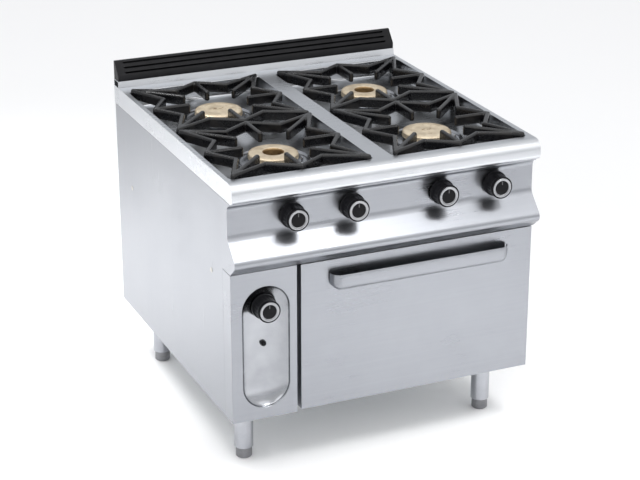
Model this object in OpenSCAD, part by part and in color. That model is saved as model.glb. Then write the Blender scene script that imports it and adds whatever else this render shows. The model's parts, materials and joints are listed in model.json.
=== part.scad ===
// Commercial gas range: four open burners in pressed wells over a gas oven.
// +X is to the right, +Y to the back, +Z up. The origin is on the floor, under
// the middle of the whole object. All sizes are in millimetres.

/* [Body] */
// Width of the worktop and body
body_w = 850; // [840:5:870]
// Depth from the door's face to the rear panel
body_d = 880; // [870:5:900]
// Height of the worktop's rim above the floor
worktop_z = 810; // [805:1:820]
// Height of the body's lower edge, which is the length of the legs
leg_h = 160; // [150:1:170]
// Height of the lower edge of the control fascia
fascia_z = 570; // [568:1:574]
// Thickness of the steel sheet
sheet = 2; // [1.5:0.5:2]

/* [Worktop] */
// Depth of the side lips
lip_h = 52; // [46:1:54]
// Width of the rim at each side
side_rim = 14; // [10:1:16]
// Width of the central rib between the wells
rib_w = 52; // [50:1:60]
// Length of the wells, front to back
well_l = 777; // [770:1:780]
// Depth of the wells below the rim
well_depth = 46; // [42:1:48]
// Height of the bright strip below the flue riser
upstand_h = 18; // [14:1:22]
// Height of the flue riser's top above the worktop
riser_h = 70; // [66:1:80]
// Number of slots in the flue riser
riser_slots = 3; // [2:1:4]

/* [Burners and pan supports] */
// Radius of a burner crown
crown_r = 65; // [60:1:68]
// Height of a burner crown
crown_h = 19; // [16:1:22]
// Radius of the hole in the ring crowns
crown_hole_r = 26; // [22:1:28]
// Width of a pan support's bars
bar_w = 13; // [11:1:15]
// Height of a pan support's top above the worktop's rim
grate_rise = 10; // [8:1:14]
// Distance from the burner's axis to the finger tips
finger_r = 82; // [78:1:90]

/* [Controls] */
// Positions of the hob knobs along X
knob_x = [-256, -93, 157, 310];
// Height of the hob knobs
knob_z = 701; // [699:1:703]
// Length of a knob
knob_len = 44; // [40:1:44]
// Radius of a knob's skirt
knob_r = 33; // [30:1:33]
// Travel of a knob when it is pushed
knob_push = 2; // [1.5:0.5:2]
// Height of the oven knob
oven_knob_z = 464; // [455:1:470]

/* [Service panel] */
// Width of the service panel left of the door
service_w = 178; // [170:1:182]
// Width of the pressed recess
recess_w = 129; // [120:1:132]
// Height of the pressed recess
recess_h = 334; // [320:1:340]
// Depth of the pressed recess
recess_depth = 26; // [22:1:28]

/* [Oven] */
// Clear width of the oven
oven_w = 560; // [540:5:565]
// Clear depth of the oven
oven_d = 650; // [600:10:660]
// Thickness of the door
door_t = 46; // [44:1:48]
// Length of the door handle
handle_l = 505; // [460:5:520]
// Reach of the door handle
handle_reach = 32; // [28:1:34]

/* [Hidden] */
$fn = 48;

// Clearances between pieces that move on each other
gap = 0.3;
shaft_gap = 0.05;

// Reach of the knobs ahead of the door's face, and of the gas inlet behind the body
knob_reach = 38;
inlet_reach = 34;
// Front face of the door, and rear face of the body
door_y = knob_reach - (body_d + knob_reach + inlet_reach) / 2;
rear_y = door_y + body_d;
// Front face of the frame that the door closes on
frame_y = door_y + 52;
// Half widths: worktop lip, outer and inner faces of the side panels
lip_x = body_w / 2;
side_x = lip_x - 1.5;
inner_x = side_x - sheet;
// Under side of the worktop's lip
lip_z = worktop_z - lip_h;

// Wells and burners
well_x0 = rib_w / 2;
well_x1 = lip_x - side_rim;
well_y0 = door_y + 20;
well_y1 = well_y0 + well_l;
well_z = worktop_z - well_depth;
well_r = 16;
burner_x = (well_x0 + well_x1) / 2;
burner_dy = well_l / 4;
burner_mid = (well_y0 + well_y1) / 2;
burners = [[-burner_x, burner_mid - burner_dy], [burner_x, burner_mid - burner_dy],
           [-burner_x, burner_mid + burner_dy], [burner_x, burner_mid + burner_dy]];
crown_top = worktop_z - 15;
crown_z = crown_top - crown_h;
cup_r = 52;
cup_bore = 30;
neck_r = 38;
neck_hole = 42;
dish_r = 95;
pilot_at = [-60, -52];
probe_at = [56, -56];

// Pan supports
grate_x = (well_x1 - well_x0) / 2 - 4.5;
grate_y = well_l / 4 - 2.25;
grate_top = worktop_z + grate_rise;
bar_h = 28;
scallop_in = 57;
scallop_at = 76;

// Upstand, flue riser and flue
riser_y = door_y + 842;
riser_z = worktop_z + upstand_h;
riser_low = 16;
flue_x = [-5, 195];
flue_y = [riser_y + 6, rear_y - 10];

// Service panel, recess and oven knob
service_x = -side_x + service_w;
recess_x = (-side_x + service_x) / 2 + 5;
recess_z = 357;
recess_back = door_y + recess_depth;
igniter_z = 360;

// Door
door_x0 = service_x + 11;
door_x1 = side_x;
door_z0 = leg_h + 4;
door_z1 = fascia_z - 4;
door_mid = (door_x0 + door_x1) / 2;
hinge_y = door_y + door_t / 2;
hinge_z = door_z0 + 16;
hinge_pin_r = 4;
lug_r = 9;
lug_w = 8;
lug_x = [door_x0 + 26, door_x1 - 26];
handle_z = 488;
handle_h = 44;

// Oven cavity
oven_x0 = door_mid - 5 - oven_w / 2;
oven_x1 = oven_x0 + oven_w;
oven_y0 = frame_y + sheet;
oven_y1 = oven_y0 + oven_d;
oven_z0 = leg_h + 14;
oven_z1 = 515;
mouth_z0 = 225;
mouth_in = 4;
wool_t = 30;
floor_plate_z = 228;

// Legs
leg_r = 25;
leg_bore = 23;
leg_bottom = 30;
leg_at = [350, 322];

// Gas line
main_r = 12;
main_z = knob_z;
main_y = door_y + 72;
pipe_r = 5;
feed_x = -385;
inlet_r = 10.48;
flat_y = door_y + 12;
spindle_r = 4;

steel = "silver";
dark_iron = [0.1, 0.1, 0.11];
brass_tone = [0.86, 0.76, 0.56];

// A box between two opposite corners
module block(lo, hi) {
    translate(lo) cube(hi - lo);
}

// A round bar from p along X, Y or Z
module along_x(p, len, r) {
    translate(p) rotate([0, 90, 0]) cylinder(h = len, r = r);
}
module along_y(p, len, r) {
    translate(p) rotate([-90, 0, 0]) cylinder(h = len, r = r);
}
module along_z(p, len, r) {
    translate(p) cylinder(h = len, r = r);
}

// A flat outline in Y and Z, given its thickness along X from x0 to x1
module slab_x(x0, x1) {
    translate([x0, 0, 0]) rotate([90, 0, 90]) linear_extrude(x1 - x0) children();
}

// A flat outline in X and Z, given its thickness along Y from y0 to y1
module slab_y(y0, y1) {
    translate([0, y1, 0]) rotate([90, 0, 0]) linear_extrude(y1 - y0) children();
}

// Points of an arc from angle a0 to a1
function arc(c, r, a0, a1, n = 8) =
    [for (i = [0:n]) c + r * [cos(a0 + (a1 - a0) * i / n), sin(a0 + (a1 - a0) * i / n)]];

// Unit normal on the left of the step from a to b
function left_of(a, b) = [a[1] - b[1], b[0] - a[0]] / norm(b - a);

// A path moved sideways by t, its corners mitred
function beside(p, t) = [for (i = [0:len(p) - 1])
    let (u = left_of(p[max(i - 1, 0)], p[max(i, 1)]),
         v = left_of(p[min(i, len(p) - 2)], p[min(i + 1, len(p) - 1)]))
    p[i] + t * (u + v) / (1 + u * v)];

// A strip of sheet along a path
module strip(path, t) {
    polygon(concat(path, [for (i = [len(path) - 1:-1:0]) beside(path, t)[i]]));
}

// A rectangle with round corners, made of squares and circles
module round_rect(lo, hi, r) {
    translate([lo[0] + r, lo[1]]) square([hi[0] - lo[0] - 2 * r, hi[1] - lo[1]]);
    translate([lo[0], lo[1] + r]) square([hi[0] - lo[0], hi[1] - lo[1] - 2 * r]);
    for (x = [lo[0] + r, hi[0] - r], y = [lo[1] + r, hi[1] - r]) translate([x, y]) circle(r);
}

// An upright slot outline with round ends
module stadium(c, w, h) {
    translate(c - [w / 2, h / 2 - w / 2]) square([w, h - w]);
    for (s = [-1, 1]) translate(c + [0, s * (h - w) / 2]) circle(w / 2);
}

// A folded pan that opens to the back: a front sheet with four returns
module pan(x0, x1, z0, z1, y0, y1) {
    difference() {
        block([x0, y0, z0], [x1, y1, z1]);
        block([x0 + sheet, y0 + sheet, z0 + sheet], [x1 - sheet, y1 + 1, z1 - sheet]);
    }
}

// ---- Base, legs and outer panels

module base_tray() {
    color(steel) {
        block([-inner_x, frame_y + sheet, leg_h], [inner_x, rear_y - sheet, leg_h + sheet]);
        for (s = [-1, 1]) {
            block([s * (inner_x - sheet / 2) - sheet / 2, frame_y + sheet, leg_h],
                  [s * (inner_x - sheet / 2) + sheet / 2, rear_y - sheet, leg_h + 30]);
        }
        block([-inner_x, rear_y - 2 * sheet, leg_h], [inner_x, rear_y - sheet, leg_h + 30]);
    }
}

module at_legs() {
    for (x = [-1, 1], y = [-1, 1]) translate([x * leg_at[0], y * leg_at[1], 0]) children();
}

module legs() {
    color(steel) at_legs() {
        difference() {
            along_z([0, 0, leg_bottom], leg_h - leg_bottom, leg_r);
            along_z([0, 0, leg_bottom - 1], leg_h - leg_bottom - 3, leg_bore);
        }
        translate([-38, -38, leg_h - 3]) cube([76, 76, 3]);
    }
}

module foot(x, y) {
    color("dimgray") translate([x * leg_at[0], y * leg_at[1], 0]) {
        cylinder(h = 3, r1 = leg_bore - 4, r2 = leg_bore - 1.5);
        along_z([0, 0, 3], leg_bottom, leg_bore - 1.5);
        along_z([0, 0, leg_bottom + 2], 62, leg_bore - shaft_gap);
    }
}

// Heights and depths of the two blanking plugs on each side
plugs = [[door_y + 131, 534], [door_y + 755, 543]];
plug_r = 7;

module side_panel(s) {
    x = s * (side_x - sheet / 2);
    color(steel) difference() {
        union() {
            block([x - sheet / 2, frame_y, leg_h], [x + sheet / 2, rear_y - sheet, worktop_z - sheet]);
            block([min(s * inner_x, s * (inner_x - 22)), frame_y + sheet, leg_h + 32],
                  [max(s * inner_x, s * (inner_x - 22)), frame_y + 2 * sheet, lip_z]);
            block([min(s * inner_x, s * (inner_x - 22)), rear_y - 2 * sheet, leg_h + 32],
                  [max(s * inner_x, s * (inner_x - 22)), rear_y - sheet, lip_z]);
        }
        for (p = plugs) along_x([x - 3, p[0], p[1]], 6, plug_r - 1.5);
    }
}

module side_plugs() {
    color("gray") for (s = [-1, 1], p = plugs) {
        along_x([s > 0 ? side_x : -side_x - 0.8, p[0], p[1]], 0.8, plug_r);
        along_x([s > 0 ? side_x - 5 : -side_x, p[0], p[1]], 5, plug_r - 1.5);
    }
}

module back_panel() {
    color(steel) difference() {
        block([-side_x, rear_y - sheet, leg_h], [side_x, rear_y, worktop_z - sheet]);
        along_y([feed_x, rear_y - 3, main_z], 6, inlet_r + 2);
        for (x = [-260:130:260], i = [0:4]) {
            block([x - 45, rear_y - 3, 600 + 18 * i], [x + 45, rear_y + 1, 606 + 18 * i]);
        }
    }
}

module front_frame() {
    color(steel) difference() {
        block([-inner_x, frame_y, leg_h], [inner_x, frame_y + sheet, lip_z]);
        block([oven_x0 + mouth_in, frame_y - 1, mouth_z0],
              [oven_x1 - mouth_in, frame_y + 3, oven_z1 - mouth_in]);
        block([-side_x + 22, frame_y - 1, 182], [service_x - 20, frame_y + 3, 548]);
        block([-inner_x + 26, frame_y - 1, 606], [inner_x - 26, frame_y + 3, lip_z - 8]);
    }
}

// ---- Worktop and flue riser

// The bullnose's path in Y and Z, from the rim forward and down
bull_path = concat([[door_y + 6, worktop_z]],
    arc([door_y, worktop_z - 26], 26, 90, 180),
    arc([door_y - 12, lip_z + 14], 14, 180, 270),
    [[door_y + 16, lip_z]]);

module well_outline(s, inset) {
    round_rect([s > 0 ? well_x0 + inset : -well_x1 + inset, well_y0 + inset],
               [s > 0 ? well_x1 - inset : -well_x0 - inset, well_y1 - inset], well_r - inset);
}

module upstand() {
    slab_x(-lip_x, lip_x) difference() {
        polygon([[riser_y - 4, worktop_z], [riser_y, riser_z], [rear_y, riser_z], [rear_y, worktop_z]]);
        polygon([[riser_y - 1, worktop_z - 1], [riser_y + sheet, riser_z - sheet],
                 [rear_y - sheet, riser_z - sheet], [rear_y - sheet, worktop_z - 1]]);
    }
}

module worktop() {
    color(steel) {
        difference() {
            union() {
                block([-lip_x, door_y, worktop_z - sheet], [lip_x, rear_y, worktop_z]);
                for (s = [-1, 1]) {
                    translate([0, 0, well_z - sheet]) linear_extrude(well_depth) well_outline(s, -sheet);
                }
                upstand();
            }
            for (s = [-1, 1]) {
                translate([0, 0, well_z]) linear_extrude(well_depth + 1) well_outline(s, 0);
            }
            for (b = burners) along_z([b[0], b[1], well_z - 5], 10, neck_hole);
            block([flue_x[0] + sheet, flue_y[0] + sheet, worktop_z - 5],
                  [flue_x[1] - sheet, flue_y[1] - sheet, riser_z + 5]);
        }
        for (s = [-1, 1]) {
            block([min(s * lip_x, s * side_x), door_y, lip_z], [max(s * lip_x, s * side_x), rear_y, worktop_z]);
            slab_x(s > 0 ? lip_x - sheet : -lip_x, s > 0 ? lip_x : sheet - lip_x)
                polygon(concat(bull_path, [[door_y + 16, worktop_z]]));
        }
        slab_x(-lip_x, lip_x) strip(bull_path, sheet);
    }
}

module flue_riser() {
    top = worktop_z + riser_h;
    slope = [30, top - riser_z - riser_low];
    color(dark_iron) difference() {
        slab_x(-lip_x + 3, lip_x - 3) difference() {
            polygon([[riser_y, riser_z], [riser_y, riser_z + riser_low], [riser_y + slope[0], top],
                     [rear_y, top], [rear_y, riser_z]]);
            polygon([[riser_y + sheet, riser_z - 1], [riser_y + sheet, riser_z + riser_low - 1],
                     [riser_y + slope[0] + 1, top - sheet], [rear_y - sheet, top - sheet],
                     [rear_y - sheet, riser_z - 1]]);
        }
        for (i = [0:riser_slots - 1]) {
            t = (i + 0.5) / riser_slots;
            translate([-lip_x + 25, riser_y + slope[0] * t - 3, riser_z + riser_low + slope[1] * t - 2])
                cube([2 * lip_x - 50, 8, 4]);
        }
    }
    color(dark_iron) for (s = [-1, 1]) {
        slab_x(s > 0 ? lip_x - 3 : -lip_x + 1, s > 0 ? lip_x - 1 : -lip_x + 3)
            polygon([[riser_y, riser_z], [riser_y, riser_z + riser_low], [riser_y + slope[0], top],
                     [rear_y, top], [rear_y, riser_z]]);
    }
}

// ---- Control fascia

// The fascia's path in Y and Z: hollow above, with a round nose below
fascia_path = concat([[door_y - 6, lip_z - 1]],
    arc([door_y - 8, knob_z + 30], 20, 80, 0),
    arc([door_y - 18, knob_z - 29], 30, 0, -42),
    arc([door_y - 20, fascia_z + 34], 16, 138, 240),
    [[door_y - 4, fascia_z], [frame_y, fascia_z]]);

module control_fascia() {
    color(steel) {
        difference() {
            slab_x(-lip_x + sheet, lip_x - sheet) strip(fascia_path, sheet);
            for (x = knob_x) along_y([x, door_y - 20, knob_z], 60, spindle_r + 3);
        }
        for (s = [-1, 1]) {
            slab_x(s > 0 ? lip_x - sheet : -lip_x, s > 0 ? lip_x : sheet - lip_x)
                polygon(concat(fascia_path, [[frame_y, lip_z - 1]]));
        }
    }
}

module service_panel() {
    color(steel) difference() {
        pan(-side_x, service_x, leg_h, fascia_z - 3, door_y, frame_y);
        slab_y(door_y - 1, door_y + 5) stadium([recess_x, recess_z], recess_w, recess_h);
    }
}

module control_recess() {
    color(steel) difference() {
        union() {
            slab_y(door_y + sheet, recess_back) stadium([recess_x, recess_z], recess_w + 2 * sheet, recess_h + 2 * sheet);
            slab_y(door_y + sheet, door_y + 2 * sheet) stadium([recess_x, recess_z], recess_w + 24, recess_h + 24);
        }
        slab_y(door_y, recess_back - sheet) stadium([recess_x, recess_z], recess_w, recess_h);
        along_y([recess_x, recess_back - 5, oven_knob_z], 10, spindle_r + 3);
        along_y([recess_x, recess_back - 5, igniter_z], 10, 8);
    }
}

// ---- Oven door

module door_outer_skin() {
    color(steel) difference() {
        pan(door_x0, door_x1, door_z0, door_z1, door_y, door_y + door_t - sheet);
        for (x = lug_x) {
            block([x - lug_w / 2 - 1, hinge_y - lug_r - 2, door_z0 - 1],
                  [x + lug_w / 2 + 1, door_y + door_t, door_z0 + sheet + 1]);
        }
    }
}

module door_inner_skin() {
    y0 = door_y + door_t - sheet;
    ex0 = oven_x0 + 12;
    ex1 = oven_x1 - 12;
    color(steel) difference() {
        union() {
            block([door_x0, y0, door_z0], [door_x1, y0 + sheet, door_z1]);
            block([ex0, y0, mouth_z0 + 9], [ex1, y0 + 14, oven_z1 - 12]);
        }
        block([ex0 + sheet, y0 - 1, mouth_z0 + 9 + sheet], [ex1 - sheet, y0 + 14 - sheet, oven_z1 - 12 - sheet]);
        for (x = lug_x) {
            block([x - lug_w / 2 - 1, y0 - 1, door_z0 - 1],
                  [x + lug_w / 2 + 1, y0 + 5, hinge_z + lug_r + 3]);
        }
    }
}

module door_insulation() {
    color("khaki") difference() {
        block([door_x0 + sheet, door_y + sheet, door_z0 + sheet],
              [door_x1 - sheet, door_y + door_t - sheet, door_z1 - sheet]);
        for (x = lug_x) {
            block([x - 14, door_y, door_z0], [x + 14, door_y + door_t, hinge_z + 46]);
        }
    }
}

module door_gasket() {
    g = 12;
    y0 = door_y + door_t + gap;
    color("dimgray") difference() {
        block([oven_x0 + mouth_in - g, y0, mouth_z0 - g], [oven_x1 - mouth_in + g, frame_y, oven_z1 - mouth_in + g]);
        block([oven_x0 + mouth_in, y0 - 1, mouth_z0], [oven_x1 - mouth_in, frame_y + 1, oven_z1 - mouth_in]);
    }
}

// The handle's path in Y and Z: a gutter that opens upwards
handle_path = concat([[door_y, handle_z]],
    arc([door_y - handle_reach + 20, handle_z + 20], 20, 270, 180),
    [[door_y - handle_reach + 1, handle_z + handle_h]]);

module door_handle() {
    x0 = door_mid - handle_l / 2;
    x1 = door_mid + handle_l / 2;
    color(steel) {
        slab_x(x0, x1) strip(handle_path, -sheet);
        for (x = [x0, x1 - sheet]) {
            slab_x(x, x + sheet) polygon(concat(handle_path, [[door_y, handle_z + handle_h]]));
        }
    }
}

module door_hinges() {
    color("gray") for (x = lug_x) {
        for (s = [-1, 1]) {
            block([x + s * 8 - 2, hinge_y - 12, hinge_z - 12], [x + s * 8 + 2, door_y + door_t - sheet, hinge_z + 40]);
        }
        along_x([x - 9, hinge_y, hinge_z], 18, hinge_pin_r);
    }
}

module hinge_brackets() {
    color("gray") for (x = lug_x) difference() {
        union() {
            along_x([x - lug_w / 2, hinge_y, hinge_z], lug_w, lug_r);
            block([x - lug_w / 2, hinge_y, hinge_z - lug_r], [x + lug_w / 2, frame_y, hinge_z + lug_r]);
        }
        along_x([x - lug_w, hinge_y, hinge_z], 2 * lug_w, hinge_pin_r + shaft_gap);
    }
}

// ---- Oven

// Openings for the flue at the oven's back, and for the burner's feed at its left
flue_z = [476, 504];
feed_y = oven_y0 + 46;
feed_z = 200;

module oven_liner() {
    color("lightsteelblue") {
        difference() {
            block([oven_x0 - sheet, oven_y0, oven_z0 - sheet], [oven_x1 + sheet, oven_y1 + sheet, oven_z1 + sheet]);
            block([oven_x0, oven_y0 - 1, oven_z0], [oven_x1, oven_y1, oven_z1]);
            block([flue_x[0] + sheet, oven_y1 - 1, flue_z[0] + sheet], [flue_x[1] - sheet, oven_y1 + 5, flue_z[1] - sheet]);
            along_x([oven_x0 - 5, feed_y, feed_z], 10, 15);
        }
        for (x = [oven_x0, oven_x1 - 8]) {
            block([x, oven_y0 + 4, floor_plate_z - 8], [x + 8, oven_y1 - 4, floor_plate_z]);
        }
    }
}

module oven_insulation() {
    color("khaki") difference() {
        block([oven_x0 - wool_t, oven_y0 + 2 * sheet, leg_h + sheet], [oven_x1 + wool_t - 4, oven_y1 + wool_t, oven_z1 + wool_t]);
        block([oven_x0 - sheet, oven_y0, oven_z0 - sheet], [oven_x1 + sheet, oven_y1 + sheet, oven_z1 + sheet]);
        block([flue_x[0], oven_y1, flue_z[0]], [flue_x[1], oven_y1 + wool_t + 1, flue_z[1]]);
        along_x([oven_x0 - wool_t - 1, feed_y, feed_z], wool_t, 15);
    }
}

guide_levels = [250, 310, 370, 430];

module rack_guides() {
    color(steel) for (s = [0, 1]) {
        x = s == 0 ? oven_x0 + 10 : oven_x1 - 10;
        for (z = guide_levels) along_y([x, oven_y0 + 30, z], oven_d - 60, 3);
        for (y = [oven_y0 + 40, oven_y1 - 40]) along_z([x, y, floor_plate_z + 3], 255, 3);
        for (y = [oven_y0 + 40, oven_y1 - 40], z = [270, 460]) {
            along_x([s == 0 ? oven_x0 : x, y, z], 10, 3);
        }
    }
}

module oven_rack() {
    z = guide_levels[1] + 6;
    x0 = oven_x0 + 20;
    x1 = oven_x1 - 20;
    y0 = oven_y0 + 50;
    y1 = oven_y1 - 60;
    color(steel) {
        for (x = [x0, x1]) along_y([x, y0 - 6, z + 1], y1 - y0 + 12, 2.6);
        for (y = [y0, (y0 + y1) / 2, y1]) along_x([x0 - 12, y, z], x1 - x0 + 24, 3);
        for (i = [1:12]) along_y([x0 + (x1 - x0) * i / 13, y0 - 6, z + 3.4], y1 - y0 + 12, 2);
    }
}

module oven_floor_plate() {
    color("dimgray") difference() {
        block([oven_x0 + 2, oven_y0 + 8, floor_plate_z], [oven_x1 - 2, oven_y1 - 12, floor_plate_z + 3]);
        for (x = [oven_x0 + 60:110:oven_x1 - 60], y = [oven_y0 + 90, oven_y1 - 200]) {
            block([x - 30, y, floor_plate_z - 1], [x + 30, y + 12, floor_plate_z + 4]);
        }
    }
}

module oven_burner() {
    y1 = oven_y1 - 150;
    color("gray") {
        along_x([oven_x0 - wool_t - 6, feed_y, feed_z], wool_t + 260, 13);
        for (x = [60, 240]) {
            along_y([oven_x0 + x, feed_y, feed_z], y1 - feed_y, 13);
            block([oven_x0 + x - 5, y1 - 60, oven_z0], [oven_x0 + x + 5, y1 - 50, feed_z - 8]);
        }
        block([oven_x0 + 246, feed_y - 5, oven_z0], [oven_x0 + 254, feed_y + 5, feed_z]);
    }
}

module oven_flue() {
    x0 = flue_x[0];
    x1 = flue_x[1];
    y1 = flue_y[1];
    color("gray") difference() {
        union() {
            block([x0, oven_y1 + sheet, flue_z[0]], [x1, y1, flue_z[1]]);
            block([x0, flue_y[0], flue_z[0]], [x1, y1, worktop_z - sheet]);
        }
        block([x0 + sheet, oven_y1, flue_z[0] + sheet], [x1 - sheet, y1 - sheet, flue_z[1] - sheet]);
        block([x0 + sheet, flue_y[0] + sheet, flue_z[0] + sheet], [x1 - sheet, y1 - sheet, worktop_z]);
    }
}

// ---- Gas line

module gas_inlet() {
    color("goldenrod") difference() {
        union() {
            along_y([feed_x, rear_y - 30, main_z], 30 + inlet_reach, inlet_r);
            slab_y(rear_y, rear_y + 8) translate([feed_x, main_z]) circle(15, $fn = 6);
        }
        along_y([feed_x, rear_y - 31, main_z], 32 + inlet_reach, 7.5);
    }
}

module gas_manifold() {
    color("silver") difference() {
        union() {
            along_x([feed_x, main_y, main_z], knob_x[3] + 40 - feed_x, main_r);
            translate([feed_x, main_y, main_z]) sphere(main_r);
            along_y([feed_x, main_y, main_z], rear_y - 30 - main_y, 10);
        }
        along_x([feed_x, main_y, main_z], knob_x[3] + 36 - feed_x, main_r - 2.5);
        along_y([feed_x, main_y, main_z], rear_y - 29 - main_y, 7.5);
    }
}

module gas_taps() {
    color("goldenrod") for (x = knob_x) difference() {
        union() {
            block([x - 17, flat_y + 10, main_z - 18], [x + 17, main_y, main_z + 18]);
            along_z([x, flat_y + 30, main_z + 18], 10, 8);
        }
        along_x([x - 20, main_y, main_z], 40, main_r);
        along_y([x, flat_y + 9, main_z], 28, 9);
        along_z([x, flat_y + 30, main_z + 6], 23, pipe_r);
    }
}

// Injector end of a burner's mixing tube
function injector(b) = [b[0], b[1] - 118, well_z - sheet - 22];

// A pipe through points that step along one axis at a time
module pipe(points, r) {
    for (i = [0:len(points) - 2]) {
        a = points[i];
        b = points[i + 1];
        lo = [min(a[0], b[0]), min(a[1], b[1]), min(a[2], b[2])];
        if (a[0] != b[0]) along_x(lo, abs(b[0] - a[0]), r);
        if (a[1] != b[1]) along_y(lo, abs(b[1] - a[1]), r);
        if (a[2] != b[2]) along_z(lo, abs(b[2] - a[2]), r);
        if (i > 0) translate(a) sphere(r);
    }
}

// Burner fed by each hob tap, from left to right
fed_by_tap = [burners[0], burners[2], burners[3], burners[1]];
tap_out_y = flat_y + 30;

module supply_pipes() {
    color("goldenrod") {
        for (i = [0:3]) {
            e = injector(fed_by_tap[i]);
            pipe([[knob_x[i], tap_out_y, main_z + 20], [knob_x[i], tap_out_y, e[2]],
                  [knob_x[i], e[1] - 12, e[2]], [e[0], e[1] - 12, e[2]], e], pipe_r - 0.2);
        }
        pipe([[recess_x, main_y, main_z - main_r - 0.1], [recess_x, main_y, thermo_z[1]]], pipe_r);
        pipe([[recess_x, feed_y, thermo_z[0]], [recess_x, feed_y, feed_z],
              [oven_x0 - wool_t - 6, feed_y, feed_z]], pipe_r);
    }
}

thermo_z = [oven_knob_z - 35, oven_knob_z + 35];

module oven_thermostat() {
    color("gray") difference() {
        block([recess_x - 30, recess_back, thermo_z[0]], [recess_x + 30, recess_back + 80, thermo_z[1]]);
        along_y([recess_x, recess_back - 1, oven_knob_z], 34, 9);
    }
}

// A spindle with its plug; y is the face that the knob sits on
module spindle(x, y, z) {
    color("gray") {
        along_y([x, y - 25, z], 40, spindle_r);
        along_y([x, y + 14, z], 22, 9 - shaft_gap);
    }
}

module tap_spindle(i) {
    spindle(knob_x[i], flat_y - knob_push - 4, knob_z);
}

module oven_spindle() {
    spindle(recess_x, recess_back - sheet - knob_push - 4, oven_knob_z);
}

// A knob with a skirt, a waist and a faced front; y is the back of its skirt
module knob(x, y, z) {
    color(dark_iron) translate([x, y, z]) rotate([90, 0, 0]) difference() {
        rotate_extrude() polygon([[0, 8], [knob_r - 4, 8], [knob_r - 4, 0], [knob_r, 0], [knob_r, 9],
            [knob_r - 3, 13], [knob_r - 5, knob_len - 14], [knob_r - 3.5, knob_len - 10],
            [knob_r - 3.5, knob_len - 2], [knob_r - 5.5, knob_len], [20, knob_len],
            [19, knob_len - 2], [0, knob_len - 2]]);
        cylinder(h = 30, r = spindle_r + shaft_gap);
    }
}

module hob_knob(i) {
    knob(knob_x[i], flat_y - knob_push - 4, knob_z);
}

module oven_knob() {
    knob(recess_x, recess_back - sheet - knob_push - 4, oven_knob_z);
}

module bezel(x, y, z) {
    difference() {
        along_y([x, y - 1.5, z], 1.5, 27);
        along_y([x, y - 2, z], 3, spindle_r + 3);
    }
}

module knob_bezels() {
    color("dimgray") {
        for (x = knob_x) bezel(x, flat_y, knob_z);
        bezel(recess_x, recess_back - sheet, oven_knob_z);
    }
}

button_r = 6;

module igniter_body() {
    color(dark_iron) difference() {
        union() {
            along_y([recess_x, recess_back, igniter_z], 26, 11);
            along_y([recess_x, recess_back - sheet - 4, igniter_z], sheet + 4, 7.8);
        }
        along_y([recess_x, recess_back - 10, igniter_z], 33, button_r + shaft_gap);
    }
}

module igniter_button() {
    color("dimgray") along_y([recess_x, recess_back - 11, igniter_z], 26, button_r);
}

// ---- Burners

module at_burners() {
    for (b = burners) translate([b[0], b[1], 0]) children();
}

module burner_bodies() {
    z = injector(burners[0])[2];
    color("gray") at_burners() difference() {
        union() {
            along_z([0, 0, z - 14], well_z - z + 14, neck_r);
            along_z([0, 0, well_z], 4, cup_r + 4);
            along_z([0, 0, well_z + 4], crown_z - gap - well_z - 4, cup_r);
            along_y([0, -118, z], 90, 13);
        }
        along_z([0, 0, z - 8], 80, cup_bore);
        along_y([0, -119, z], 100, 8);
    }
}

module burner_dishes() {
    color("silver") at_burners() difference() {
        translate([0, 0, well_z]) rotate_extrude()
            polygon([[cup_r + 6, 0], [dish_r - 8, 0], [dish_r, 7], [dish_r - 1, 9], [dish_r - 9, 2], [cup_r + 6, 2]]);
        for (p = [pilot_at, probe_at]) along_z([p[0], p[1], well_z - 1], 20, 7);
    }
}

// A crown with a locating spigot; a ring crown has a hole right through it
module crown(b, hole_r) {
    color(brass_tone) translate([b[0], b[1], crown_z]) rotate_extrude() polygon([
        [hole_r, -8], [cup_bore - 1, -8], [cup_bore - 1, 0], [crown_r - 4, 0], [crown_r, 4],
        [crown_r, crown_h - 5], [crown_r - 5, crown_h - 1], [crown_r - 12, crown_h], [hole_r, crown_h]]);
}

module pilot_burners() {
    color("white") at_burners() {
        along_z([pilot_at[0], pilot_at[1], well_z], crown_z - well_z + 8, 5);
        along_z([pilot_at[0], pilot_at[1], crown_z + 8], 5, 3);
    }
}

module thermocouples() {
    color("silver") at_burners() {
        along_z([probe_at[0], probe_at[1], well_z], crown_z - well_z, 4);
        along_z([probe_at[0], probe_at[1], crown_z], 14, 2.5);
    }
}

// ---- Pan supports

// A bar's outline in plan, from p to q, with a slightly wider round boss at each end
module bar(p, q) {
    d = q - p;
    translate(p) rotate(atan2(d[1], d[0])) {
        translate([0, -bar_w / 2]) square([norm(d), bar_w]);
        circle(bar_w / 2 + 0.6);
        translate([norm(d), 0]) circle(bar_w / 2 + 0.6);
    }
}

module grate_outline() {
    tip = [grate_x - bar_w / 2 - 0.6, grate_y - bar_w / 2 - 0.6];
    end_r = finger_r + bar_w / 2 + 0.6;
    for (sx = [-1, 1], sy = [-1, 1]) {
        corner = [sx * tip[0], sy * tip[1]];
        side_in = [sx * (grate_x - scallop_in), sy * scallop_at];
        end_in = [sx * scallop_at, sy * (grate_y - scallop_in)];
        bar([sx * tip[0], 0], side_in);
        bar(side_in, corner);
        bar(corner, end_in);
        bar(end_in, [0, sy * tip[1]]);
        bar(corner, corner / norm(corner) * (end_r + 18));
    }
    for (s = [-1, 1]) {
        bar([s * tip[0], 0], [s * end_r, 0]);
        bar([0, s * tip[1]], [0, s * end_r]);
    }
}

module grate(b) {
    foot_at = [grate_x - bar_w / 2 - 0.6, grate_y - bar_w / 2 - 0.6];
    color(dark_iron) translate([b[0], b[1], 0]) {
        translate([0, 0, grate_top - bar_h]) linear_extrude(bar_h) grate_outline();
        for (sx = [-1, 1], sy = [-1, 1]) {
            along_z([sx * foot_at[0], sy * foot_at[1], well_z + gap], grate_top - bar_h - well_z, bar_w / 2 - 1);
        }
    }
}

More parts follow.
